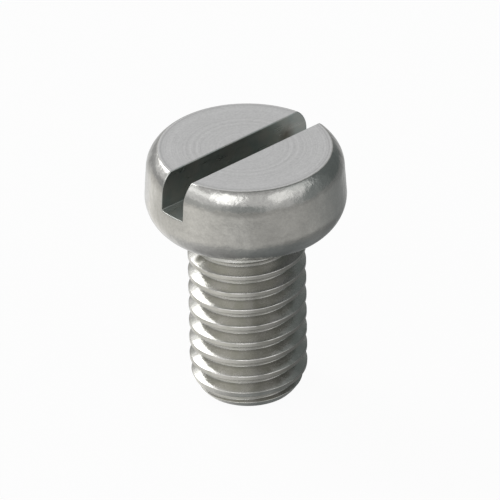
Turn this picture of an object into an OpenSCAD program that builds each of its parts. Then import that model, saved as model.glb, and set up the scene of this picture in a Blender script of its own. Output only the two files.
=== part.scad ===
// Slotted cheese-head machine screw, fully threaded, M5 x 0.8 x 8, one solid piece of steel.
// Frame: origin on the screw's axis in the plane of the bearing face under the head.
// +Z points out of the head's top, the slot runs along X, the shank goes down along -Z.

/* [Head] */
// widest diameter of the head, about a third of the way up its side
head_d = 8.29; // [8.2:0.01:8.5]
// height of the head above its bearing face
head_h = 3.2; // [3.12:0.02:3.3]
// diameter of the flat turned face on top
face_d = 7.16; // [6.8:0.02:7.6]
// diameter at the top of the nearly straight side, where the shoulder curve begins
side_top_d = 8.14; // [8.0:0.01:8.18]
// height of the rounded shoulder between the side and the flat face
shoulder_h = 0.95; // [0.6:0.05:1.1]
// height of the widest ring above the bearing face
belly_h = 1.05; // [0.7:0.05:1.3]
// outer diameter of the flat bearing face
bearing_d = 7.36; // [7.0:0.02:7.8]

/* [Slot] */
// width of the driver slot
slot_w = 1.26; // [1.2:0.01:1.51]
// depth of the driver slot below the flat face
slot_depth = 1.6; // [1.3:0.05:1.8]

/* [Shank and thread] */
// length from the bearing face to the flat end
shank_len = 8.1; // [6:0.1:16]
// diameter over the thread's crests
thread_d = 4.88; // [4.83:0.01:4.97]
// diameter at which ridge and groove are equally wide
pitch_d = 4.48; // [4.4:0.01:4.49]
// diameter at the bottom of the groove
root_d = 4.02; // [3.95:0.01:4.08]
// rise of the right-hand thread in one turn
pitch = 0.8; // [0.76:0.01:0.85]
// full angle between the two flanks of a ridge, above the pitch diameter
flank_angle = 60; // [58:1:62]
// width of the flat at the bottom of the groove
groove_w = 0.13; // [0.1:0.01:0.2]
// height of the ridge's middle on the +X side, nearest under the head
ridge_start_z = -0.51; // [-0.8:0.01:-0.1]
// diameter of the plain neck under the head
neck_d = 4.46; // [4.4:0.01:4.48]
// length of the plain neck, below which the groove starts
neck_len = 0.72; // [0.6:0.02:1]
// length over which the neck tapers into the groove
neck_taper_len = 0.3; // [0.2:0.02:0.5]
// radius of the fillet between neck and bearing face
fillet_r = 0.42; // [0.36:0.01:0.5]
// length over which the crest fades out at the neck
fade_len = 0.5; // [0.3:0.05:0.6]

/* [End] */
// length of the rounded chamfer at the end of the thread
tip_len = 1.4; // [0.9:0.05:1.6]
// diameter of the flat end
tip_face_d = 3.74; // [3.2:0.02:3.9]

/* [Hidden] */
// turned surfaces are drawn with this many sides
round_sides = 96;
// the thread has this many columns in one turn
thread_cols = 48;
// steps along the head's rounded edges, the fillet and the rounded end
edge_steps = 6;
fillet_steps = 4;
tip_steps = 6;
// overlap of bodies that are fused or cut
lap = 0.5;
// how far the rounded end starts outside the crests, and the faded rod inside the neck
tip_clear = 0.03;
fade_clear = 0.08;
// radii taken from the diameters above
head_r = head_d / 2;
face_r = face_d / 2;
side_top_r = side_top_d / 2;
bearing_r = bearing_d / 2;
thread_r = thread_d / 2;
pitch_r = pitch_d / 2;
root_r = root_d / 2;
neck_r = neck_d / 2;
tip_face_r = tip_face_d / 2;
tip_top_r = thread_r + tip_clear;
faded_r = neck_r - fade_clear;
neck_end_r = root_r - fade_clear;
// heights above the bearing face
side_top_z = head_h - shoulder_h;
slot_floor_z = head_h - slot_depth;
neck_end_z = -neck_len - neck_taper_len;
tip_top_z = tip_len - shank_len;
fade_top_z = fade_len / 2 - neck_len;
// half width of the ridge at the pitch diameter, and its whole width at its crest
ridge_half_w = pitch / 4;
crest_w = 2 * (ridge_half_w - (thread_r - pitch_r) * tan(flank_angle / 2));
// turns of the rod below the first ridge, enough to pass the flat end
turns_down = ceil((shank_len + lap + pitch + ridge_start_z) / pitch);
rod_bottom_z = ridge_start_z - turns_down * pitch;
// outline points of one ridge, each as height from the ridge's middle and radius
ridge = [
    [-crest_w / 2, thread_r],
    [crest_w / 2, thread_r],
    [ridge_half_w, pitch_r],
    [(pitch - groove_w) / 2, root_r],
    [(pitch + groove_w) / 2, root_r],
    [pitch - ridge_half_w, pitch_r]
];

// arc that leaves a vertical side at radius r and height z0 and moves inwards by drop over a
// height of rise (up or down), as outline points from its vertical end to its other end
function edge_arc(r, z0, drop, rise, steps) =
    let (arc_r = (rise * rise + drop * drop) / (2 * drop), span = asin(abs(rise) / arc_r))
    [for (i = [0 : steps])
        [r - arc_r + arc_r * cos(span * i / steps), z0 + sign(rise) * arc_r * sin(span * i / steps)]];

// the same points from the other end
function reversed(points) = [for (i = [len(points) - 1 : -1 : 0]) points[i]];

// how much of the thread's depth is left at height z: 1 below the neck, 0 inside it
function kept(z) = max(0, min(1, (fade_top_z - z) / fade_len));

// one column of the threaded rod's points from bottom to top, at column number c
function rod_column(c) = [
    for (t = [0 : turns_down], p = ridge)
        let (z = rod_bottom_z + (t + c / thread_cols) * pitch + p[0],
             a = 360 * c / thread_cols,
             r = faded_r + (p[1] - faded_r) * kept(z))
        [r * cos(a), r * sin(a), z]
];

// rod with the thread's ridge and groove; its last column closes on the first, one turn higher
module threaded_rod() {
    n = len(ridge);
    rows = (turns_down + 1) * n;
    last = (thread_cols - 1) * rows;
    low_hub = thread_cols * rows;
    high_hub = low_hub + 1;
    low_hub_z = rod_bottom_z + (pitch - crest_w) / 2;
    high_hub_z = low_hub_z + turns_down * pitch;
    columns = [for (c = [0 : thread_cols - 1]) each rod_column(c)];
    sides = [
        for (c = [0 : thread_cols - 2], j = [0 : rows - 2])
            let (low = c * rows + j, next = low + rows)
            each [[low, low + 1, next + 1], [low, next + 1, next]]
    ];
    seam = [
        for (j = [0 : rows - n - 2])
            each [[last + j, last + j + 1, j + n + 1], [last + j, j + n + 1, j + n]]
    ];
    low_rim = concat([for (c = [0 : thread_cols - 1]) c * rows], [for (j = [n : -1 : 0]) j]);
    high_rim = concat([for (c = [0 : thread_cols - 1]) c * rows + rows - 1],
                      [for (j = [rows - 2 : -1 : rows - n - 1]) last + j], [rows - 1]);
    low_cap = [for (i = [1 : len(low_rim) - 1]) [low_hub, low_rim[i - 1], low_rim[i]]];
    high_cap = [for (i = [1 : len(high_rim) - 1]) [high_hub, high_rim[i], high_rim[i - 1]]];
    polyhedron(points = concat(columns, [[0, 0, low_hub_z], [0, 0, high_hub_z]]),
               faces = concat(sides, seam, low_cap, high_cap), convexity = 10);
}

// envelope of the thread: a cylinder just outside the crests with the rounded, flat-ended tip
module shank_envelope() {
    rotate_extrude($fn = round_sides)
        polygon(concat(
            [[0, lap], [0, -shank_len]],
            reversed(edge_arc(tip_top_r, tip_top_z, tip_top_r - tip_face_r, -tip_len, tip_steps)),
            [[tip_top_r, lap]]
        ));
}

// head with its bearing face, the fillet under it and the plain neck that ends in the groove
module head_and_neck() {
    rotate_extrude($fn = round_sides)
        polygon(concat(
            [[0, head_h], [0, neck_end_z], [neck_end_r, neck_end_z], [neck_r, -neck_len]],
            [for (i = [0 : fillet_steps])
                [neck_r + fillet_r * (1 - cos(90 * i / fillet_steps)),
                 fillet_r * (sin(90 * i / fillet_steps) - 1)]],
            reversed(edge_arc(head_r, belly_h, head_r - bearing_r, -belly_h, edge_steps)),
            edge_arc(side_top_r, side_top_z, side_top_r - face_r, shoulder_h, edge_steps)
        ));
}

// cutter of the driver slot, open at both ends and above
module slot_cutter() {
    translate([-head_d / 2 - lap, -slot_w / 2, slot_floor_z])
        cube([head_d + 2 * lap, slot_w, slot_depth + lap]);
}

module screw() {
    color([0.62, 0.62, 0.6])
        difference() {
            union() {
                head_and_neck();
                intersection() {
                    threaded_rod();
                    shank_envelope();
                }
            }
            slot_cutter();
        }
}

screw();
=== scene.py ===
import math
from collections import namedtuple

import bpy
import numpy as np
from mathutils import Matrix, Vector


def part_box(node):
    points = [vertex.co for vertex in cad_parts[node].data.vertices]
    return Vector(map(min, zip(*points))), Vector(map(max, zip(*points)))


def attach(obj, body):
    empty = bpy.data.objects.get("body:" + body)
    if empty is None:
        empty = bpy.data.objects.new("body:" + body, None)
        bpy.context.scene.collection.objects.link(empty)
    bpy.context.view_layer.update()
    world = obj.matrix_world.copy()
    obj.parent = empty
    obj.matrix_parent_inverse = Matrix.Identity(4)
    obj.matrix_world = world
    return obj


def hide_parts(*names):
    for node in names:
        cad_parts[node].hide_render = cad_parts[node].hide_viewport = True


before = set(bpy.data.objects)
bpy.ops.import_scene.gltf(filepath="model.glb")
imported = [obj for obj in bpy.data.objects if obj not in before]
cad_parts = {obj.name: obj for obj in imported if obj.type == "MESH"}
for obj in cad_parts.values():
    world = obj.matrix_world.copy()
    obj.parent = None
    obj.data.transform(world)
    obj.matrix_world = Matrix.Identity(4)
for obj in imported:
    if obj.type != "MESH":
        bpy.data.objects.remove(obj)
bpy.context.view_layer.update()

# Sizes of the screw are in millimetres and in lower case, and become metres where a mesh is
# made. Settings of the mesh, the looks and the studio are in upper case.
# Frame: the screw's axis is Z, the bearing face under the head is z = 0, the slot runs along X.
MM = 0.001
# corners of the CAD solid's box, in metres
low_corner, high_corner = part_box("screw")

# head: its height and widest radius, the radius of its flat face and of its side's top, the
# height of the shoulder and of the widest ring, and the radius of the bearing face
head_h = high_corner.z / MM
head_r = 4.145
face_r = 3.58
side_top_r = 4.07
shoulder_h = 0.95
belly_h = 1.05
bearing_r = 3.68
# reach of the rounding of the rim and of the bearing face's edge, and the row that supports it
rim_cut = 0.1
rim_support = 0.12
bearing_cut = 0.08
bearing_support = 0.1

# driver slot: half width, depth, rounding of its edges and of its inner corners, and the
# distance of the vertices that support its edges
slot_half = 0.63
slot_depth = 1.6
slot_edge = 0.045
slot_corner = 0.05
slot_support = 0.04

# thread: flat end, radius of crests, flanks and groove bottoms, rise of one turn, length of a
# flank along the axis for each millimetre outwards, and the ridge's middle on the +X side
end_z = low_corner.z / MM
thread_r = 2.44
pitch_r = 2.24
root_r = 2.01
pitch = 0.8
flank_run = math.tan(math.radians(30))
ridge_start_z = -0.51
# plain neck with the fillet above it, and how the ridge fades out into it
neck_r = 2.23
neck_len = 0.72
neck_taper_len = 0.3
fillet_r = 0.42
fade_len = 0.5
fade_clear = 0.08
# reach of the rounding of crests and groove bottoms, the hollow in the middle of a full crest,
# and the least gap between two rows
crest_cut = 0.025
root_cut = 0.06
crest_hollow = 0.008
least_gap = 0.004

# rounded end, then its edge: a bevel, a rounding on the flat and a support row
tip_len = 1.4
tip_face_r = 1.87
tip_clear = 0.03
tip_cut = 0.05
tip_bevel_in = 0.01
tip_bevel_up = 0.012
tip_round_in = 0.04
tip_support_in = 0.12

# resolution: columns over one land and over one slot mouth, rows, and steps along curves
LAND_COLS = 91
MOUTH_COLS = 9
FACE_ROWS = 16
SIDE_ROWS = 5
SHOULDER_STEPS = 14
BELLY_STEPS = 14
FILLET_STEPS = 8
EDGE_STEPS = 5
CORNER_STEPS = 3
BEND_STEPS = 4
BISECTIONS = 24
# a bend reaches at most this share of the side before and after its corner, and a side counts
# as at least this long
BEND_SHARE = 0.45
LEAST_SIDE = 1e-9
# the steps of a broken slot edge that belong to the head's smooth outside
OUTER_STEPS = 2
# the steps of the rim's bend, and of the fillet, that the tool has turned
RIM_TURNED_STEPS = 2
FILLET_TURNED_STEPS = 2
# ridges that are worked out above the first one and past the end
SPARE_RIDGES = 2
# place of the extra rows on a flank, as a share of it from either end
FLANK_SHARE = 0.15
# faces that meet at more than this angle keep a sharp edge
SHARP_ANGLE = 50

# derived sizes
slot_floor_z = head_h - slot_depth
side_top_z = head_h - shoulder_h
fillet_out = neck_r + fillet_r
faded_r = neck_r - fade_clear
fade_top_z = fade_len / 2 - neck_len
crest_half = pitch / 4 - (thread_r - pitch_r) * flank_run
groove_half = pitch / 4 - (pitch_r - root_r) * flank_run
tip_top_r = thread_r + tip_clear
tip_top_z = end_z + tip_len
shank_top_z = -fillet_r
shank_low_z = end_z + tip_cut

# the materials, in the order of the mesh's slots
TURNED, SMOOTH, SLOT, THREAD = range(4)

# one row around a land: its radius and height, the y where it meets the slot's edge, the
# direction out of the surface as x and z, and the material above the row
LandRow = namedtuple("LandRow", "radius z inner_y outward look")

# Looks. Colours are linear, and places and widths are in millimetres.
# a noise stays mostly in this range
NOISE_RANGE = (0.3, 0.7)

TURNED_COLOR = (0.512, 0.512, 0.511)
# brightness of the top's colour by radius: a light ring and a dark line near the rim
RIM_SPAN = 4.0
RIM_RINGS = [(0.0, 0.96), (2.96, 0.96), (3.2, 1.0), (3.288, 1.0), (3.336, 0.9), (3.384, 0.98),
             (3.448, 0.78), (3.512, 0.96)]

SMOOTH_COLOR = (0.47, 0.466, 0.447)
# painted shade under the head: the side is painted darker towards the bearing face, down to this tone,
# between these heights
UNDERSIDE_SHADE_HEIGHTS = (0.1, 0.5)
UNDERSIDE_SHADE_TONE = 0.6
# a darker patch where the shoulder starts, on the camera's side: its middle, its reach along the axes, how
# far the dents fray it, the shares of its reach between which it ends, and its tone
DARK_PATCH = (-2.87, -2.86, 2.35)
DARK_PATCH_REACH = (1.1, 1.1, 0.17)
DARK_PATCH_FRAY = 0.8
DARK_PATCH_END = (0.7, 1.6)
DARK_PATCH_TONE = 0.66

# colours of the slot by stain; it is brighter towards its mouths, between these distances along X, and its
# floor is darker, up to these heights
SLOT_COLORS = [(0.4, (0.4, 0.43, 0.415)), (0.62, (0.46, 0.46, 0.435))]
SLOT_MOUTH_REACH = (1.2, 3.4)
SLOT_MOUTH_TONE = 1.15
SLOT_FLOOR_DARK_HEIGHTS = (slot_floor_z + 0.004, slot_floor_z + 0.02)
SLOT_FLOOR_DARK_TONE = 0.7
# middle and colour of a brown stain on the slot's far wall
SLOT_SPOT = (2.85, 0.63, 2.4)
BROWN = (0.3, 0.27, 0.24, 1)

# colours of the thread by stain, and painted shade on them by depth from the groove's bottom to the crest:
# darker at the groove's bottom and on the crest
THREAD_COLORS = [(0.38, (0.512, 0.51, 0.474)), (0.6, (0.566, 0.56, 0.534))]
GROOVE_AND_CREST_SHADE = [(0.0, 0.8), (0.12, 0.88), (0.3, 1.0), (0.88, 1.0), (0.97, 0.82), (1.0, 0.82)]
# painted shadow of the head on the groove under it, on the left: its middle, colour and added roughness
HEAD_SHADOW_SPOT = (-2.05, 0.6, -1.44)
HEAD_SHADOW_COLOR = (0.32, 0.315, 0.28, 1)
HEAD_SHADOW_ROUGHNESS = 0.4
# the crest's upper lip, painted bright in places as a glint: its width, the depths below the crest where
# it starts, the values of its wear noise with the painted glint added between which it is painted bright,
# and the glint's tint
LIP_WIDTH = 0.05
LIP_DEPTHS = (0.03, 0.01)
LIP_WEAR_AND_GLINT_EDGE = (0.42, 0.56)
LIP_GLINT_TINT = (1.0, 0.985, 0.955, 1)
# painted shade of the thread, darker on its right side, the painted glint on its crest's upper lip and the
# painted tone of that glint, by the side of the screw that they are on, in degrees to the right of the
# camera's side
RIGHT_SIDE_SHADE_BY_TURN = [(-180, 1.0), (2, 1.0), (10, 0.91), (25, 0.93), (42, 0.8), (60, 0.87), (90, 0.9),
                   (150, 1.0), (180, 1.0)]
LIP_GLINT_BY_TURN = [(-180, 0.0), (-13, 0.0), (-6, 0.13), (4, 0.15), (10, 0.0), (180, 0.0)]
LIP_GLINT_TONE_BY_TURN = [(-180, 0.62), (-14, 0.63), (-6, 0.76), (2, 0.84), (10, 0.76), (26, 0.76), (34, 0.56),
               (60, 0.52), (120, 0.56), (180, 0.62)]

# Camera: the photograph's view. Angles are in degrees, distances in millimetres; the focal
# length is in pixels of the 500-pixel picture, and the aim is a point on the axis, moved to the
# camera's right and up.
VIEW_TURN = -42.0
VIEW_RISE = 30.894
VIEW_ROLL = 0.9576
VIEW_DISTANCE = 331.35
VIEW_FOCAL = 8055.0
FRAME_PIXELS = 500
SENSOR = 36.0
AIM_Z = -2.5
AIM_RIGHT = 0.1347
AIM_UP = 0.691
# nearest and farthest that the camera sees, in metres
CLIP = (0.01, 10)

# Studio, in metres and degrees. Seen from the screw's axis, a turn goes from the camera's side
# to the camera's right, a rise is above the horizon and a drop is below it.
# softboxes: name, turn and rise of the middle, width, height, radiance
LAMP_DISTANCE = 0.3
SOFTBOXES = [
    ("window", -132, 41.5, 0.118, 0.17, 4.2),
    ("left", -72, 42, 0.2, 0.1, 0.65),
    ("front left", -27, 43, 0.14, 0.15, 1.7),
    ("front right", 45, 36, 0.13, 0.17, 0.6),
    ("far right", 76, 43, 0.126, 0.144, 0.33),
]
# strength of the world for diffuse light, and of a tone of 1 in the sky and floor of the metal
WORLD_LIGHT = 0.35
BRIGHTEST = 1.5
# tones of the surround in the metal
SKY_BY_RISE = [(0, 0.9), (30, 0.98), (50, 0.95), (62, 0.78), (72, 0.54), (90, 0.42)]
SKY_BY_TURN = [(-180, 0.68), (-150, 0.68), (-110, 0.72), (-60, 0.7), (-20, 0.66), (15, 0.6),
               (60, 0.58), (85, (0.48, 0.5, 0.5)), (102, (0.26, 0.28, 0.28)),
               (125, (0.23, 0.245, 0.245)), (145, 0.28), (165, 0.45), (180, 0.68)]
# the floor lies this far below the flat end, so that the two faces don't coincide
FLOOR_GAP = 0.00001
FLOOR_HALF = 2.0
FLOOR_COLOR = (0.85, 0.85, 0.85, 1)
FLOOR_ROUGHNESS = 0.9
# share of the floor's own glow, against its lit surface, for the camera and in the metal
CAMERA_GLOW = 0.95
MIRROR_GLOW = 0.8
# tones of the floor in the metal down to a drop of about 40 degrees, and their fall towards
# the horizon
FLOOR_BY_TURN = [(-180, 0.5), (-165, 0.57), (-150, 0.72), (-140, 0.77), (-128, (0.92, 0.9, 0.865)),
                 (-110, (0.78, 0.765, 0.73)), (-90, (0.78, 0.765, 0.73)), (-70, (0.82, 0.805, 0.77)),
                 (-50, (0.86, 0.845, 0.81)), (-30, (0.76, 0.75, 0.72)), (-10, (0.65, 0.645, 0.625)),
                 (10, (0.47, 0.465, 0.45)), (30, (0.47, 0.465, 0.45)), (50, (0.465, 0.46, 0.445)),
                 (70, (0.36, 0.36, 0.35)), (90, (0.27, 0.275, 0.27)), (110, (0.19, 0.2, 0.2)),
                 (130, (0.19, 0.2, 0.2)), (150, 0.33), (180, 0.7)]
FLOOR_BY_DROP = [(8, 0.7), (16, 0.72), (24, 0.98), (36, 1.0)]
# share and tones of what is seen at a drop of 55 degrees, and then of what is straight below
STEEP_SHARE = [(38, 0.0), (46, 0.35), (54, 1.0)]
STEEP_BY_TURN = [(-180, 0.5), (-150, 0.68), (-130, 0.82), (-110, 0.76), (-90, 0.56), (-50, 0.52),
                 (-30, 0.4), (-10, (0.28, 0.29, 0.29)), (10, (0.2, 0.21, 0.213)),
                 (30, (0.165, 0.18, 0.183)), (50, (0.125, 0.138, 0.142)), (70, (0.14, 0.152, 0.156)),
                 (100, (0.16, 0.172, 0.176)), (130, (0.17, 0.18, 0.184)), (150, 0.14), (180, 0.45)]
BELOW_SHARE = [(55, 0.0), (82, 1.0)]
BELOW_BY_TURN = [(-180, 0.17), (-150, 0.2), (-130, 0.28), (-110, 0.34), (-90, 0.28), (-50, 0.25),
                 (-30, 0.21), (-10, (0.19, 0.2, 0.2)), (10, (0.145, 0.157, 0.16)),
                 (50, (0.135, 0.147, 0.15)), (70, (0.11, 0.122, 0.125)), (90, (0.12, 0.132, 0.135)),
                 (110, 0.105), (150, 0.12), (180, 0.17)]
# shade in the metal near the foot of the screw: it ends between these radii
SHADE_REACH = (0.013, 0.019)
SHADE_BY_TURN = [(-180, 1.0), (-30, 1.0), (0, 0.9), (24, 0.74), (48, 0.54), (75, 0.46), (102, 0.46),
                 (128, 0.5), (150, 0.8), (180, 1.0)]
# low wall round the screw: its distance, the rise of its top edge and its tone
WALL_DISTANCE = 0.08
WALL_RISES = [(-180, 10), (-165, 12), (-150, 12), (-138, 9), (-130, 8), (-110, 12), (-90, 16),
              (-75, 16), (-60, 14), (-45, 12), (-30, 12), (-15, 20), (0, 22), (15, 18), (28, 9),
              (45, 9), (60, 15), (75, 22), (90, 30), (105, 46), (122, 54), (140, 50), (155, 26), (170, 6)]
WALL_BY_TURN = [(-180, 0.6), (-165, 0.5), (-150, 0.5), (-130, 0.55), (-110, 0.5),
                (-60, (0.62, 0.63, 0.62)), (-32, (0.68, 0.69, 0.68)), (-15, (0.44, 0.455, 0.455)),
                (0, (0.38, 0.4, 0.4)), (15, (0.44, 0.455, 0.455)), (32, 0.76), (48, 0.76),
                (62, (0.4, 0.42, 0.42)), (90, (0.27, 0.295, 0.295)), (112, (0.17, 0.19, 0.19)),
                (140, (0.17, 0.19, 0.19)), (165, 0.4)]

WHITE = (1, 1, 1, 1)
# leaves only the part of a place that is across the axis
ACROSS_AXIS = (1, 1, 0)


def arc_radius(rise, drop):
    """Radius of an arc that leaves a vertical side and moves inwards by drop over a rise."""
    return (rise * rise + drop * drop) / (2 * drop)


def arc_drop(height, rise, drop):
    """How far such an arc has moved inwards at this height along it."""
    radius = arc_radius(rise, drop)
    return radius - np.sqrt(radius * radius - np.clip(height, 0, rise) ** 2)


def edge_arc(side_r, rise, drop, steps):
    """Such an arc from its vertical end, at radius side_r: radius, height along it and slope
    angle of its points."""
    radius = arc_radius(rise, drop)
    span = math.asin(rise / radius)
    angles = [span * i / steps for i in range(steps + 1)]
    return [(side_r - radius * (1 - math.cos(a)), radius * math.sin(a), a) for a in angles]


def bend(before, corner, after, cut, steps):
    """Points of a smooth curve in place of a corner; cut is its reach along both sides, which
    end at before and after."""
    before, corner, after = (np.asarray(p, float) for p in (before, corner, after))

    def reach(other):
        length = np.maximum(np.linalg.norm(other - corner, axis=0), LEAST_SIDE)
        return corner + (other - corner) * np.minimum(cut / length, BEND_SHARE)

    start, stop = reach(before), reach(after)
    return [(1 - t) ** 2 * start + 2 * t * (1 - t) * corner + t ** 2 * stop
            for t in np.linspace(0, 1, steps + 1)]


class Surface:
    """Vertices and faces of one closed mesh, with a material for each face."""

    def __init__(self):
        self.points = []
        self.faces = []
        self.looks = []

    def add(self, point):
        """Vertex at a point in millimetres; returns its number."""
        self.points.append(tuple(float(c) * MM for c in point))
        return len(self.points) - 1

    def arc(self, radius, z, turns):
        """Row of vertices at these angles around the axis."""
        return [self.add((radius * math.cos(a), radius * math.sin(a), z)) for a in turns]

    def face(self, corners, look):
        """Face without its repeated corners, left out where fewer than three remain."""
        ring = [c for i, c in enumerate(corners) if c != corners[i - 1]]
        if len(set(ring)) == len(ring) > 2:
            self.faces.append(ring)
            self.looks.append(look)

    def strip(self, upper, lower, look, closed=False):
        """Quads between two rows that run the same way; seen from outside, upper is above."""
        count = len(upper) if closed else len(upper) - 1
        for i in range(count):
            k = (i + 1) % len(upper)
            self.face([upper[i], lower[i], lower[k], upper[k]], look)


def side_radius(z):
    """Radius of the head's nearly straight side."""
    return head_r + (side_top_r - head_r) * (z - belly_h) / (side_top_z - belly_h)


def shoulder_points():
    """Radius, height and slope angle along the shoulder, from the face down to the side."""
    arc = edge_arc(side_top_r, shoulder_h, side_top_r - face_r, SHOULDER_STEPS)
    return [(r, side_top_z + up, a) for r, up, a in reversed(arc)]


def land_rows():
    """Rows of one land from the top's middle down to the slot's floor."""
    inner_y = slot_half + slot_edge
    rows = []
    for r in np.linspace(inner_y + slot_support, face_r - rim_support, FACE_ROWS):
        rows.append(LandRow(r, head_h, inner_y, (0, 1), TURNED))
    shoulder = shoulder_points()
    upright = math.radians(90)
    slope = shoulder[0][2]
    rim = bend((face_r - rim_support, head_h), (face_r, head_h), shoulder[1][:2], rim_cut, BEND_STEPS)
    for i, (r, z) in enumerate(rim):
        a = upright + (slope - upright) * i / BEND_STEPS
        look = TURNED if i < RIM_TURNED_STEPS else SMOOTH
        rows.append(LandRow(r, z, inner_y, (math.cos(a), math.sin(a)), look))
    for r, z, a in shoulder[1:]:
        rows.append(LandRow(r, z, inner_y, (math.cos(a), math.sin(a)), SMOOTH))
    for z in np.linspace(side_top_z, slot_floor_z + slot_corner, SIDE_ROWS + 1)[1:]:
        rows.append(LandRow(side_radius(z), z, inner_y, (1, 0), SMOOTH))
    # around the slot's inner corner, outside it by the rounding of the edge
    reach = slot_corner + slot_edge
    for i in range(1, CORNER_STEPS + 1):
        a = math.radians(90 * i / CORNER_STEPS)
        y = slot_half - slot_corner + reach * math.cos(a)
        z = slot_floor_z + slot_corner - reach * math.sin(a)
        rows.append(LandRow(side_radius(z), z, y, (1, 0), SMOOTH))
    return rows


def land_turns(row, side):
    """Angles of one row's vertices, counter-clockwise on both lands, with the support vertices
    next to its ends."""
    first = math.asin(row.inner_y / row.radius)
    start = first if side > 0 else math.pi + first
    stop = start + math.pi - 2 * first
    margin = slot_support / row.radius
    return np.concatenate([[start], np.linspace(start + margin, stop - margin, LAND_COLS - 1), [stop]])


def land(surface, rows, side):
    """Outside of the land on the +Y side (1) or the -Y side (-1). Returns its rows of vertices."""
    grid = [surface.arc(row.radius, row.z, land_turns(row, side)) for row in rows]
    surface.face(grid[0], TURNED)
    for i in range(len(rows) - 1):
        surface.strip(grid[i], grid[i + 1], rows[i + 1].look)
    return grid


def edge_line(surface, row, across, side, end, outer):
    """Vertices around the broken edge from a land or mouth into the slot, then one support
    vertex. across is 1 at the +X mouth and -1 at the -X mouth; end is how far the line runs
    sideways and up; outer is the vertex on the outside."""
    x = math.sqrt(row.radius ** 2 - row.inner_y ** 2)
    out_x, out_z = row.outward
    lateral, lift = end
    steps = []
    for i in range(1, EDGE_STEPS + 1):
        a = math.radians(90 * i / EDGE_STEPS)
        steps.append((slot_edge * math.sin(a), slot_edge * (1 - math.cos(a))))
    steps.append((slot_edge, slot_edge + slot_support))
    found = [outer]
    for move, deep in steps:
        found.append(surface.add((across * (x - deep * out_x),
                                  side * (row.inner_y - move * lateral),
                                  row.z + move * lift - deep * out_z)))
    return found


def land_edge(surface, rows, grid, side, across):
    """Broken edge of one land at one mouth. Returns its lines of vertices, row by row."""
    # a land's first vertices lie at the +X mouth on the +Y side, and at the -X mouth on the other
    at = 0 if across == side else -1
    last_wall = len(rows) - 1 - CORNER_STEPS
    lines = []
    for i, row in enumerate(rows):
        turn = max(0, i - last_wall) / CORNER_STEPS * math.radians(90)
        lines.append(edge_line(surface, row, across, side, (math.cos(turn), math.sin(turn)), grid[i][at]))
    for i in range(len(lines) - 1):
        pair = (lines[i], lines[i + 1])
        upper, lower = pair if across == side else pair[::-1]
        for k in range(len(upper) - 1):
            look = SMOOTH if k < OUTER_STEPS and rows[i].look == SMOOTH else SLOT
            surface.face([upper[k], upper[k + 1], lower[k + 1], lower[k]], look)
    return lines


def slot_wall(surface, near, far, side):
    """Slot wall of one land between its edges at the +X and the -X mouth: the broken top edge,
    the flat wall and the inner corner."""
    last_wall = len(near) - 1 - CORNER_STEPS
    rings = [[near[0][k], near[0][k + 1], far[0][k + 1], far[0][k]] for k in range(len(near[0]) - 1)]
    rings.append([line[-1] for line in near[:last_wall + 1]]
                 + [line[-1] for line in reversed(far[:last_wall + 1])])
    for i in range(last_wall, len(near) - 1):
        rings.append([near[i][-1], near[i + 1][-1], far[i + 1][-1], far[i][-1]])
    for ring in rings:
        surface.face(ring if side < 0 else ring[::-1], SLOT)


def slot_mouth(surface, row, across, plus_line, minus_line):
    """Broken edge of the slot's floor at one mouth, between the last lines of the two lands.
    Returns its lines of vertices from +Y to -Y."""
    lines = [plus_line]
    for y in np.linspace(row.inner_y, -row.inner_y, MOUTH_COLS + 1)[1:-1]:
        outer = surface.add((across * math.sqrt(row.radius ** 2 - y ** 2), y, row.z))
        lines.append(edge_line(surface, row._replace(inner_y=y), across, 1, (0, 1), outer))
    lines.append(minus_line)
    for j in range(MOUTH_COLS):
        for k in range(len(plus_line) - 1):
            ring = [lines[j][k], lines[j][k + 1], lines[j + 1][k + 1], lines[j + 1][k]]
            surface.face(ring if across > 0 else ring[::-1], SMOOTH if k < OUTER_STEPS else SLOT)
    return lines


def slotted_head(surface):
    """Both lands with the slot between them; returns the closed row of vertices below them."""
    rows = land_rows()
    grids = {}
    edges = {}
    for side in (1, -1):
        grids[side] = land(surface, rows, side)
        for across in (1, -1):
            edges[side, across] = land_edge(surface, rows, grids[side], side, across)
        slot_wall(surface, edges[side, 1], edges[side, -1], side)
    mouths = {}
    for across in (1, -1):
        mouths[across] = slot_mouth(surface, rows[-1], across, edges[1, across][-1], edges[-1, across][-1])
    plus, minus = ([line[-1] for line in mouths[across]] for across in (1, -1))
    for j in range(MOUTH_COLS):
        surface.face([plus[j], minus[j], minus[j + 1], plus[j + 1]], SLOT)
    # counter-clockwise: +Y land, -X mouth from +Y to -Y, -Y land, +X mouth from -Y to +Y
    plus_mouth, minus_mouth = ([line[0] for line in mouths[across]] for across in (1, -1))
    return grids[1][-1][:-1] + minus_mouth[:-1] + grids[-1][-1][:-1] + plus_mouth[:0:-1]


def lower_head_rows():
    """Rows from the slot's mouth down to the plain neck: their radius and height, and the
    material above them."""
    rows = []
    for z in np.linspace(slot_floor_z - slot_edge, belly_h, SIDE_ROWS + 1)[1:]:
        rows.append((side_radius(z), z, SMOOTH))
    for r, down, _ in edge_arc(head_r, belly_h, head_r - bearing_r, BELLY_STEPS)[1:-1]:
        rows.append((r, belly_h - down, SMOOTH))
    edge = bend(rows[-1][:2], (bearing_r, 0), (fillet_out, 0), bearing_cut, BEND_STEPS)
    rows += [(r, z, SMOOTH) for r, z in edge[:-1]]
    rows.append((*edge[-1], TURNED))
    rows.append((fillet_out + bearing_support, 0, TURNED))
    for i in range(FILLET_STEPS + 1):
        a = math.radians(90 * i / FILLET_STEPS)
        look = TURNED if i < FILLET_TURNED_STEPS else THREAD
        rows.append((fillet_out - fillet_r * math.sin(a), fillet_r * (math.cos(a) - 1), look))
    return rows


def fade(z):
    """1 below the neck, 0 inside it."""
    return np.clip((fade_top_z - z) / fade_len, 0, 1)


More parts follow.
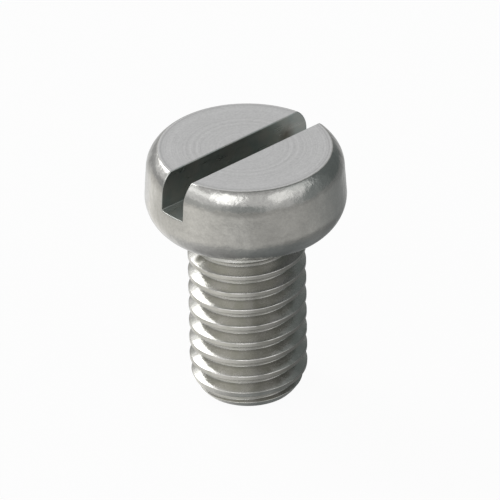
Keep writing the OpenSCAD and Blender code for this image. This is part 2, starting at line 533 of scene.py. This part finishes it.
def neck_radius(z):
    """Radius of the plain neck and its taper, far inside the thread below them."""
    down = np.clip((-neck_len - z) / neck_taper_len, 0, 1)
    return neck_r + (root_r - fade_clear - neck_r) * down


def tip_radius(z):
    """Radius of the rounded end."""
    return tip_top_r - arc_drop(tip_top_z - z, tip_len, tip_top_r - tip_face_r)


def ridge_radius(z, middle):
    """Radius of the faded ridge, whose middle is at this height, before its edges are rounded."""
    half = np.abs(z - middle)
    plain = np.clip(pitch_r + (pitch / 4 - half) / flank_run, root_r, thread_r)
    return faded_r + (plain - faded_r) * fade(z)


def thread_radius(z, middle):
    """Radius of the shank: the ridge outside the neck and inside the rounded end."""
    return np.minimum(np.maximum(ridge_radius(z, middle), neck_radius(z)), tip_radius(z))


def crossing(middle, sign, limit):
    """Distance from the ridge's middle to where a flank meets a limit, found by halving."""
    outer = np.full_like(middle, pitch / 2 - groove_half)
    inner = np.full_like(middle, crest_half)
    for _ in range(BISECTIONS):
        trial = (outer + inner) / 2
        z = middle + sign * trial
        beyond = ridge_radius(z, middle) > limit(z)
        inner, outer = np.where(beyond, trial, inner), np.where(beyond, outer, trial)
    return (inner + outer) / 2


def flank_points(upper, lower):
    """Two points on a straight flank, one near each end."""
    return [upper * (1 - FLANK_SHARE) + lower * FLANK_SHARE,
            upper * FLANK_SHARE + lower * (1 - FLANK_SHARE)]


def surface_point(z, middle):
    """Height and radius of the shank's surface, as one array."""
    return np.array([z, thread_radius(z, middle)])


def flank_ends(middles, sign):
    """Root and crest of the flank above (1) or below (-1) the middle of each ridge."""
    to_crest = crossing(middles, sign, tip_radius)
    to_root = np.maximum(crossing(middles, sign, neck_radius), to_crest + least_gap)
    return [surface_point(middles + sign * away, middles) for away in (to_root, to_crest)]


def ridge_rows(middles):
    """Points across each ridge, from its upper root down to the middle of the groove below."""
    upper_root, upper_crest = flank_ends(middles, 1)
    lower_root, lower_crest = flank_ends(middles, -1)
    crest = surface_point((upper_crest[0] + lower_crest[0]) / 2, middles)
    whole = np.clip((crest[1] - root_r) / (thread_r - root_r), 0, 1)
    crest[1] = crest[1] - crest_hollow * whole
    one_pitch = [[[pitch]], [[0]]]
    root_above = np.concatenate([lower_root[:, :, :1] + one_pitch, lower_root[:, :, :-1]], axis=2)
    root_below = np.concatenate([upper_root[:, :, 1:], upper_root[:, :, -1:] - one_pitch], axis=2)
    groove_above = (root_above + upper_root) / 2
    groove = (lower_root + root_below) / 2
    upper_foot = bend(groove_above, upper_root, upper_crest, root_cut, BEND_STEPS)
    upper_lip = bend(upper_root, upper_crest, crest, crest_cut, BEND_STEPS)
    lower_lip = bend(crest, lower_crest, lower_root, crest_cut, BEND_STEPS)
    lower_foot = bend(lower_crest, lower_root, groove, root_cut, BEND_STEPS)
    rows = upper_foot + flank_points(upper_foot[-1], upper_lip[0]) + upper_lip + [crest]
    rows += lower_lip + flank_points(lower_lip[-1], lower_foot[0]) + lower_foot + [groove]
    return rows


def thread_columns(turns):
    """Heights and radii of the thread's rows from the top down, one column for each angle, and
    the number of rows for one ridge."""
    numbers = np.arange(-SPARE_RIDGES, math.ceil(-end_z / pitch) + SPARE_RIDGES + 1)
    middles = ridge_start_z + pitch * (turns[:, None] / math.tau - numbers[None, :])
    rows = ridge_rows(middles)
    return np.stack(rows, axis=3).reshape(2, len(turns), -1), len(rows)


def thread_column(surface, angle, heights, radii, top, bottom):
    """Vertices of one column of the thread. Its top or bottom vertex takes the place of what
    would pass the neck or the end."""
    column = []
    for z, r in zip(heights, radii):
        if z >= shank_top_z - least_gap:
            column.append(top)
        elif z <= shank_low_z + least_gap:
            column.append(bottom)
        else:
            column.append(surface.add((r * math.cos(angle), r * math.sin(angle), z)))
    return column


def threaded_shank(surface, top_row, turns):
    """Thread between the neck's last row and the rounded end's last row, which it returns. Its
    own rows follow the helix."""
    (heights, radii), per_turn = thread_columns(turns)
    bottom_row = surface.arc(float(tip_radius(np.array(shank_low_z))), shank_low_z, turns)
    columns = [thread_column(surface, *each) for each in zip(turns, heights, radii, top_row, bottom_row)]
    for j, left in enumerate(columns):
        # the last column meets the first one a turn further down
        beside = (j + 1) % len(columns)
        shift = per_turn if beside == 0 else 0
        right = [top_row[beside]] * shift + columns[beside]
        for k in range(len(left) - 1):
            surface.face([left[k], left[k + 1], right[k + 1], right[k]], THREAD)
    return bottom_row


def screw_surface():
    """The whole screw, from the top down."""
    surface = Surface()
    ring = slotted_head(surface)
    x = [surface.points[i][0] for i in ring]
    y = [surface.points[i][1] for i in ring]
    turns = np.unwrap(np.arctan2(y, x))
    for r, z, look in lower_head_rows():
        below = surface.arc(r, z, turns)
        surface.strip(ring, below, look, closed=True)
        ring = below
    ring = threaded_shank(surface, ring, turns)
    end_rows = [(tip_bevel_in, tip_bevel_up), (tip_round_in, 0), (tip_support_in, 0)]
    for inset, lift in end_rows:
        below = surface.arc(tip_face_r - inset, end_z + lift, turns)
        surface.strip(ring, below, THREAD, closed=True)
        ring = below
    surface.face(ring[::-1], TURNED)
    return surface


def add(tree, kind, values=None, **settings):
    """A shader node. values holds numbers, colours or the sockets that feed it, by input."""
    made = tree.nodes.new("ShaderNode" + kind)
    for name, value in settings.items():
        setattr(made, name, value)
    for key, value in (values or {}).items():
        if isinstance(value, bpy.types.NodeSocket):
            tree.links.new(value, made.inputs[key])
        else:
            made.inputs[key].default_value = value
    return made


def number(tree, operation, *values):
    """Result of an operation on numbers."""
    return add(tree, "Math", dict(enumerate(values)), operation=operation).outputs[0]


def product(tree, first, *others):
    """Product of numbers."""
    for other in others:
        first = number(tree, "MULTIPLY", first, other)
    return first


def vector(tree, operation, *values):
    """Result of an operation on vectors, which is a number for a length or a distance."""
    made = add(tree, "VectorMath", dict(enumerate(values)), operation=operation)
    return made.outputs["Value" if operation in ("LENGTH", "DISTANCE") else "Vector"]


def remap(tree, value, before, after):
    """Number taken from one range to another, each a start and a stop, and held inside it."""
    ranges = {1: before[0], 2: before[1], 3: after[0], 4: after[1]}
    return add(tree, "MapRange", {0: value, **ranges}).outputs[0]


def spread(tree, value, low, high):
    """Takes a noise, which stays near 0.5, to a range."""
    return remap(tree, value, NOISE_RANGE, (low, high))


def mix(tree, share, first, second):
    """Colour that goes from first to second as share goes from 0 to 1."""
    return add(tree, "MixRGB", {0: share, 1: first, 2: second}).outputs[0]


def multiply(tree, first, second):
    """Product of two colours."""
    return add(tree, "MixRGB", {0: 1.0, 1: first, 2: second}, blend_type="MULTIPLY").outputs[0]


def scaled(tree, color, factor):
    """Colour times a number."""
    return add(tree, "VectorMath", {0: color, "Scale": factor}, operation="SCALE").outputs[0]


def blend(tree, share, first, second):
    """Shader that goes from first to second as share goes from 0 to 1."""
    return add(tree, "MixShader", {0: share, 1: first, 2: second}).outputs[0]


def ramp(tree, value, stops):
    """Colour ramp; stops are pairs of a position and a grey or a colour."""
    made = add(tree, "ValToRGB", {0: value})
    stops = sorted(stops, key=lambda stop: stop[0])
    marks = made.color_ramp.elements
    while len(marks) < len(stops):
        marks.new(0.5)
    for mark, (position, tone) in zip(marks, stops):
        mark.position = position
        red, green, blue = (tone, tone, tone) if isinstance(tone, (int, float)) else tone
        mark.color = (red, green, blue, 1)
    return made.outputs[0]


def turn_ramp(tree, place, stops):
    """Colour by the side of the axis that a place is on; stops are (turn, tone)."""
    ahead = math.radians(90 - VIEW_TURN)
    turned = add(tree, "Mapping", {"Vector": place, "Rotation": (0, 0, ahead)}).outputs[0]
    around = add(tree, "TexGradient", {"Vector": turned}, gradient_type="RADIAL").outputs[1]
    return ramp(tree, around, [((turn + 180) / 360, tone) for turn, tone in stops])


def drop_ramp(tree, facing, stops):
    """Colour by how steeply the floor is looked down on; stops are (drop, tone)."""
    return ramp(tree, facing, [(1 - math.sin(math.radians(drop)), tone) for drop, tone in stops])


def place_in_mm(tree, scale=(1, 1, 1)):
    """Place on the screw in millimetres, stretched by a scale."""
    coords = add(tree, "TexCoord").outputs["Object"]
    steps = tuple(s / MM for s in scale)
    return add(tree, "Mapping", {"Vector": coords, "Scale": steps}).outputs[0]


def distance_from_axis(tree, place):
    """Distance of a place from the screw's axis."""
    return vector(tree, "LENGTH", vector(tree, "MULTIPLY", place, ACROSS_AXIS))


def noise(tree, place, scale, detail):
    """Cloudy noise; its clouds get smaller as scale grows."""
    return add(tree, "TexNoise", {"Vector": place, "Scale": scale, "Detail": detail}).outputs[0]


def noise_along(tree, position, scale, detail):
    """Noise that changes along one number only."""
    values = {"W": position, "Scale": scale, "Detail": detail}
    return add(tree, "TexNoise", values, noise_dimensions="1D").outputs[0]


def bumps(tree, heights):
    """Normal of a surface with bumps; heights are pairs of a noise and its full height in mm."""
    normal = None
    for height, depth in heights:
        values = {"Height": height, "Distance": depth * MM, "Strength": 1.0}
        if normal is not None:
            values["Normal"] = normal
        normal = add(tree, "Bump", values).outputs[0]
    return normal


def spot(tree, away, fray, amount, start, stop):
    """1 in the middle of a spot and 0 outside it, from the distance to its middle and a noise
    that frays its outline; it fades between two distances."""
    ragged = number(tree, "MULTIPLY_ADD", fray, amount, away)
    return remap(tree, ragged, (start, stop), (1.0, 0.0))


def steel(name, make):
    """Metal material; make builds its nodes and returns colour, roughness and normal."""
    material = bpy.data.materials.new(name)
    material.use_nodes = True
    tree = material.node_tree
    shader = tree.nodes["Principled BSDF"]
    shader.inputs["Metallic"].default_value = 1.0
    color, roughness, normal = make(tree)
    tree.links.new(color, shader.inputs["Base Color"])
    tree.links.new(roughness, shader.inputs["Roughness"])
    tree.links.new(normal, shader.inputs["Normal"])
    return material


def turned_steel(tree):
    """Turned faces: rings of the tool's feed around the axis, with a fine grain."""
    place = place_in_mm(tree)
    radius = distance_from_axis(tree, place)
    rings = noise_along(tree, radius, scale=7.0, detail=3.0)
    clouds = noise(tree, place, scale=0.9, detail=3.0)
    grain = noise(tree, place, scale=12.0, detail=2.0)
    rim_stops = [(r / RIM_SPAN, tone) for r, tone in RIM_RINGS]
    rim = ramp(tree, number(tree, "DIVIDE", radius, RIM_SPAN), rim_stops)
    tones = product(tree, spread(tree, rings, 0.95, 1.04), spread(tree, grain, 0.93, 1.07), rim,
                    spread(tree, clouds, 0.96, 1.04))
    normal = bumps(tree, [(rings, 0.008), (grain, 0.004)])
    return scaled(tree, TURNED_COLOR, tones), spread(tree, clouds, 0.28, 0.4), normal


def smooth_steel(tree):
    """Side and shoulder of the head: bright, with faint dents, stains, upright rub marks, painted shade
    towards the bearing face and one darker patch."""
    place = place_in_mm(tree)
    waves = noise(tree, place, scale=0.9, detail=1.0)
    dents = noise(tree, place, scale=2.6, detail=4.0)
    grain = noise(tree, place, scale=9.0, detail=2.0)
    rubs = noise(tree, place_in_mm(tree, (1, 1, 0.15)), scale=5.0, detail=2.0)
    stains = noise(tree, place_in_mm(tree, (1, 1, 0.7)), scale=0.8, detail=4.0)
    height = add(tree, "SeparateXYZ", {0: place}).outputs[2]
    # painted shade: the side darkens towards the bearing face, under the head
    underside_shade = remap(tree, height, UNDERSIDE_SHADE_HEIGHTS, (UNDERSIDE_SHADE_TONE, 1.0))
    offset = vector(tree, "DIVIDE", vector(tree, "SUBTRACT", place, DARK_PATCH), DARK_PATCH_REACH)
    ragged = number(tree, "MULTIPLY_ADD", dents, DARK_PATCH_FRAY, vector(tree, "LENGTH", offset))
    dark_patch = remap(tree, ragged, DARK_PATCH_END, (DARK_PATCH_TONE, 1.0))
    tones = product(tree, spread(tree, stains, 0.87, 1.07), underside_shade,
                    spread(tree, grain, 0.95, 1.05), dark_patch)
    normal = bumps(tree, [(waves, 0.05), (dents, 0.025), (rubs, 0.004)])
    return scaled(tree, SMOOTH_COLOR, tones), spread(tree, dents, 0.15, 0.25), normal


def slot_steel(tree):
    """Walls and floor of the slot: duller, with the cutter's marks along it and a brown stain."""
    place = place_in_mm(tree)
    marks = noise(tree, place_in_mm(tree, (0.3, 3, 3)), scale=3.0, detail=2.0)
    stains = noise(tree, place, scale=1.3, detail=3.0)
    parts = add(tree, "SeparateXYZ", {0: place}).outputs
    toward_mouths = remap(tree, number(tree, "ABSOLUTE", parts[0]), SLOT_MOUTH_REACH, (1.0, SLOT_MOUTH_TONE))
    slot_floor_dark = remap(tree, parts[2], SLOT_FLOOR_DARK_HEIGHTS, (SLOT_FLOOR_DARK_TONE, 1.0))
    tinted = scaled(tree, ramp(tree, stains, SLOT_COLORS), product(tree, toward_mouths, slot_floor_dark))
    away = vector(tree, "DISTANCE", place, SLOT_SPOT)
    stained = spot(tree, away, stains, amount=0.8, start=0.5, stop=0.95)
    normal = bumps(tree, [(marks, 0.006)])
    return mix(tree, stained, tinted, BROWN), spread(tree, marks, 0.27, 0.4), normal


def ridge_distance(tree, place):
    """Distance in mm from the middle of the thread's ridge, along the axis."""
    x, y, z = add(tree, "SeparateXYZ", {0: place}).outputs
    rise = product(tree, number(tree, "ARCTAN2", y, x), pitch / math.tau)
    level = number(tree, "SUBTRACT", number(tree, "SUBTRACT", z, rise), ridge_start_z)
    return number(tree, "WRAP", level, pitch / 2, -pitch / 2)


def lip_share(tree, place, across, radius):
    """1 on the crest's upper lip where it is painted bright, as a glint partly set by a wear noise, 0
    elsewhere.
    """
    lip = remap(tree, across, (crest_half - LIP_WIDTH, crest_half), (0.0, 1.0))
    crest = remap(tree, radius, [thread_r - depth for depth in LIP_DEPTHS], (0.0, 1.0))
    wear_and_glint = noise(tree, place, scale=1.6, detail=2.0)
    # painted glint: the wear noise is raised near the middle of the camera's side
    wear_and_glint = number(tree, "ADD", wear_and_glint, turn_ramp(tree, place, LIP_GLINT_BY_TURN))
    return product(tree, lip, crest, remap(tree, wear_and_glint, LIP_WEAR_AND_GLINT_EDGE, (0.0, 1.0)))


def thread_steel(tree):
    """Rolled thread: olive tinge, lines along the turns, stains, painted shade in the groove and on the
    crest, an upper lip of the crest painted bright in places as a glint, partly by a wear noise, painted
    shade on the screw's right side and one painted shadow of the head."""
    place = place_in_mm(tree)
    across = ridge_distance(tree, place)
    radius = distance_from_axis(tree, place)
    stains = noise(tree, place, scale=2.0, detail=4.0)
    grain = noise(tree, place, scale=7.0, detail=2.0)
    lines = noise_along(tree, across, scale=16.0, detail=2.0)
    depth = remap(tree, radius, (root_r, thread_r), (0.0, 1.0))
    # painted shade: darker at the groove's bottom and on the crest
    body = multiply(tree, ramp(tree, stains, THREAD_COLORS), ramp(tree, depth, GROOVE_AND_CREST_SHADE))
    # painted glint on the crest's upper lip, its tone set by the side of the screw
    lip = multiply(tree, turn_ramp(tree, place, LIP_GLINT_TONE_BY_TURN), LIP_GLINT_TINT)
    glinting = mix(tree, lip_share(tree, place, across, radius), body, lip)
    # painted shadow of the head on the top groove, darker and rougher
    away = vector(tree, "DISTANCE", place, HEAD_SHADOW_SPOT)
    head_shadow = spot(tree, away, stains, amount=0.1, start=0.17, stop=0.4)
    shadowed = mix(tree, head_shadow, glinting, HEAD_SHADOW_COLOR)
    # painted shade: the thread is darker on the screw's right side
    color = multiply(tree, shadowed, turn_ramp(tree, place, RIGHT_SIDE_SHADE_BY_TURN))
    roughness = number(tree, "MULTIPLY_ADD", head_shadow, HEAD_SHADOW_ROUGHNESS, spread(tree, stains, 0.19, 0.31))
    return color, roughness, bumps(tree, [(lines, 0.0025), (stains, 0.008), (grain, 0.004)])


def screw_piece():
    """The screw's mesh with its four materials."""
    surface = screw_surface()
    mesh = bpy.data.meshes.new("slotted_screw")
    mesh.from_pydata(surface.points, [], surface.faces)
    mesh.polygons.foreach_set("material_index", surface.looks)
    mesh.polygons.foreach_set("use_smooth", [True] * len(mesh.polygons))
    # in the order of TURNED, SMOOTH, SLOT and THREAD
    for name, make in (("turned steel", turned_steel), ("smooth steel", smooth_steel),
                       ("slotted steel", slot_steel), ("rolled steel", thread_steel)):
        mesh.materials.append(steel(name, make))
    mesh.update()
    mesh.set_sharp_from_angle(angle=math.radians(SHARP_ANGLE))
    piece = bpy.data.objects.new("slotted_screw", mesh)
    bpy.context.scene.collection.objects.link(piece)
    return piece


def direction(turn, rise):
    """Unit vector from the screw's axis at a turn from the camera's side and a rise."""
    a, e = math.radians(VIEW_TURN + turn), math.radians(rise)
    return Vector((math.sin(a) * math.cos(e), -math.cos(a) * math.cos(e), math.sin(e)))


def camera():
    """Camera at the photograph's viewing angle."""
    data = bpy.data.cameras.new("camera")
    data.sensor_width = SENSOR
    data.lens = VIEW_FOCAL / FRAME_PIXELS * SENSOR
    data.clip_start, data.clip_end = CLIP
    made = bpy.data.objects.new("camera", data)
    back = direction(0, VIEW_RISE)
    right = Vector((math.cos(math.radians(VIEW_TURN)), math.sin(math.radians(VIEW_TURN)), 0))
    up = back.cross(right)
    aim = (Vector((0, 0, AIM_Z)) + AIM_RIGHT * right + AIM_UP * up) * MM
    made.location = aim + VIEW_DISTANCE * MM * back
    made.rotation_euler = back.to_track_quat("Z", "Y").to_euler()
    made.rotation_euler.rotate_axis("Z", math.radians(-VIEW_ROLL))
    bpy.context.scene.collection.objects.link(made)
    bpy.context.scene.camera = made


def softbox(name, turn, rise, width, height, radiance):
    """Soft rectangular lamp that faces the screw; radiance 1 looks white in a mirror."""
    data = bpy.data.lights.new(name, "AREA")
    data.shape = "RECTANGLE"
    data.size = width
    data.size_y = height
    data.energy = radiance * math.pi * width * height
    made = bpy.data.objects.new(name, data)
    way = direction(turn, rise)
    made.location = way * LAMP_DISTANCE
    made.rotation_euler = way.to_track_quat("Z", "Y").to_euler()
    bpy.context.scene.collection.objects.link(made)


def mirrored_ray(tree):
    """1 for what is seen in metal or glass."""
    path = add(tree, "LightPath").outputs
    return number(tree, "MAXIMUM", path["Is Glossy Ray"], path["Is Transmission Ray"])


def seen_ray(tree):
    """1 for what the camera sees directly, or in metal or glass, 0 for diffuse light."""
    return number(tree, "MAXIMUM", add(tree, "LightPath").outputs["Is Camera Ray"], mirrored_ray(tree))


def studio_world():
    """White for the camera, a plain level for diffuse light, and in the metal a bright surround
    that darkens overhead and on the right."""
    world = bpy.data.worlds.new("studio")
    bpy.context.scene.world = world
    world.use_nodes = True
    tree = world.node_tree
    tree.nodes.clear()
    way = add(tree, "TexCoord").outputs["Generated"]
    height = add(tree, "SeparateXYZ", {0: way}).outputs[2]
    by_rise = ramp(tree, height, [(math.sin(math.radians(rise)), tone) for rise, tone in SKY_BY_RISE])
    tones = multiply(tree, by_rise, turn_ramp(tree, way, SKY_BY_TURN))
    light = add(tree, "Background", {"Color": WHITE, "Strength": WORLD_LIGHT}).outputs[0]
    white = add(tree, "Background", {"Color": WHITE, "Strength": 1.0}).outputs[0]
    mirrored = add(tree, "Background", {"Color": tones, "Strength": BRIGHTEST}).outputs[0]
    seen = blend(tree, mirrored_ray(tree), white, mirrored)
    add(tree, "OutputWorld", {0: blend(tree, seen_ray(tree), light, seen)})


def stage_mesh(name, points, faces):
    """Mesh of the studio with its own material; returns the object and the material's nodes."""
    mesh = bpy.data.meshes.new(name)
    mesh.from_pydata(points, [], faces)
    made = bpy.data.objects.new(name, mesh)
    bpy.context.scene.collection.objects.link(made)
    material = bpy.data.materials.new(name)
    material.use_nodes = True
    mesh.materials.append(material)
    return made, material.node_tree


def floor_in_metal(tree):
    """Tones of the floor as the metal shows it: brightest on the side of the lamps, darker in
    the shade at the foot and towards straight below."""
    place = add(tree, "TexCoord").outputs["Object"]
    facing = add(tree, "LayerWeight").outputs["Facing"]
    away = remap(tree, distance_from_axis(tree, place), SHADE_REACH, (0.0, 1.0))
    shade = mix(tree, away, turn_ramp(tree, place, SHADE_BY_TURN), WHITE)
    tones = multiply(tree, turn_ramp(tree, place, FLOOR_BY_TURN), shade)
    tones = multiply(tree, tones, drop_ramp(tree, facing, FLOOR_BY_DROP))
    for share, by_turn in ((STEEP_SHARE, STEEP_BY_TURN), (BELOW_SHARE, BELOW_BY_TURN)):
        tones = mix(tree, drop_ramp(tree, facing, share), tones, turn_ramp(tree, place, by_turn))
    return tones


def studio_floor():
    """Pale floor, which the camera sees nearly white with the screw's soft shadow."""
    z = low_corner.z - FLOOR_GAP
    corners = [(-FLOOR_HALF, -FLOOR_HALF, z), (FLOOR_HALF, -FLOOR_HALF, z),
               (FLOOR_HALF, FLOOR_HALF, z), (-FLOOR_HALF, FLOOR_HALF, z)]
    _, tree = stage_mesh("floor", corners, [(0, 1, 2, 3)])
    shader = tree.nodes["Principled BSDF"]
    shader.inputs["Base Color"].default_value = FLOOR_COLOR
    shader.inputs["Roughness"].default_value = FLOOR_ROUGHNESS
    shader.inputs["Specular IOR Level"].default_value = 0.0
    white = add(tree, "Emission", {"Color": WHITE, "Strength": 1.0}).outputs[0]
    mirrored = add(tree, "Emission", {"Color": floor_in_metal(tree), "Strength": BRIGHTEST}).outputs[0]
    glow = blend(tree, mirrored_ray(tree), white, mirrored)
    glow_share = remap(tree, mirrored_ray(tree), (0.0, 1.0), (CAMERA_GLOW, MIRROR_GLOW))
    share = product(tree, seen_ray(tree), glow_share)
    tree.links.new(blend(tree, share, shader.outputs[0], glow), tree.nodes["Material Output"].inputs[0])


def studio_wall():
    """Low grey wall round the screw, seen only in the metal."""
    points = []
    faces = []
    for i, (turn, rise) in enumerate(WALL_RISES):
        way = direction(turn, 0) * WALL_DISTANCE
        top = WALL_DISTANCE * math.tan(math.radians(rise))
        points += [(way.x, way.y, low_corner.z), (way.x, way.y, top)]
        if i:
            faces.append((2 * i - 2, 2 * i, 2 * i + 1, 2 * i - 1))
    wall, tree = stage_mesh("grey_wall", points, faces)
    wall.visible_camera = False
    wall.visible_diffuse = False
    wall.visible_shadow = False
    tree.nodes.clear()
    tones = turn_ramp(tree, add(tree, "TexCoord").outputs["Object"], WALL_BY_TURN)
    glow = add(tree, "Emission", {"Color": tones, "Strength": 1.0}).outputs[0]
    add(tree, "OutputMaterial", {0: glow})


bpy.context.scene.view_settings.view_transform = "Standard"
camera()
studio_world()
studio_floor()
studio_wall()
for box in SOFTBOXES:
    softbox(*box)

screw = screw_piece()
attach(screw, "root")
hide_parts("screw")
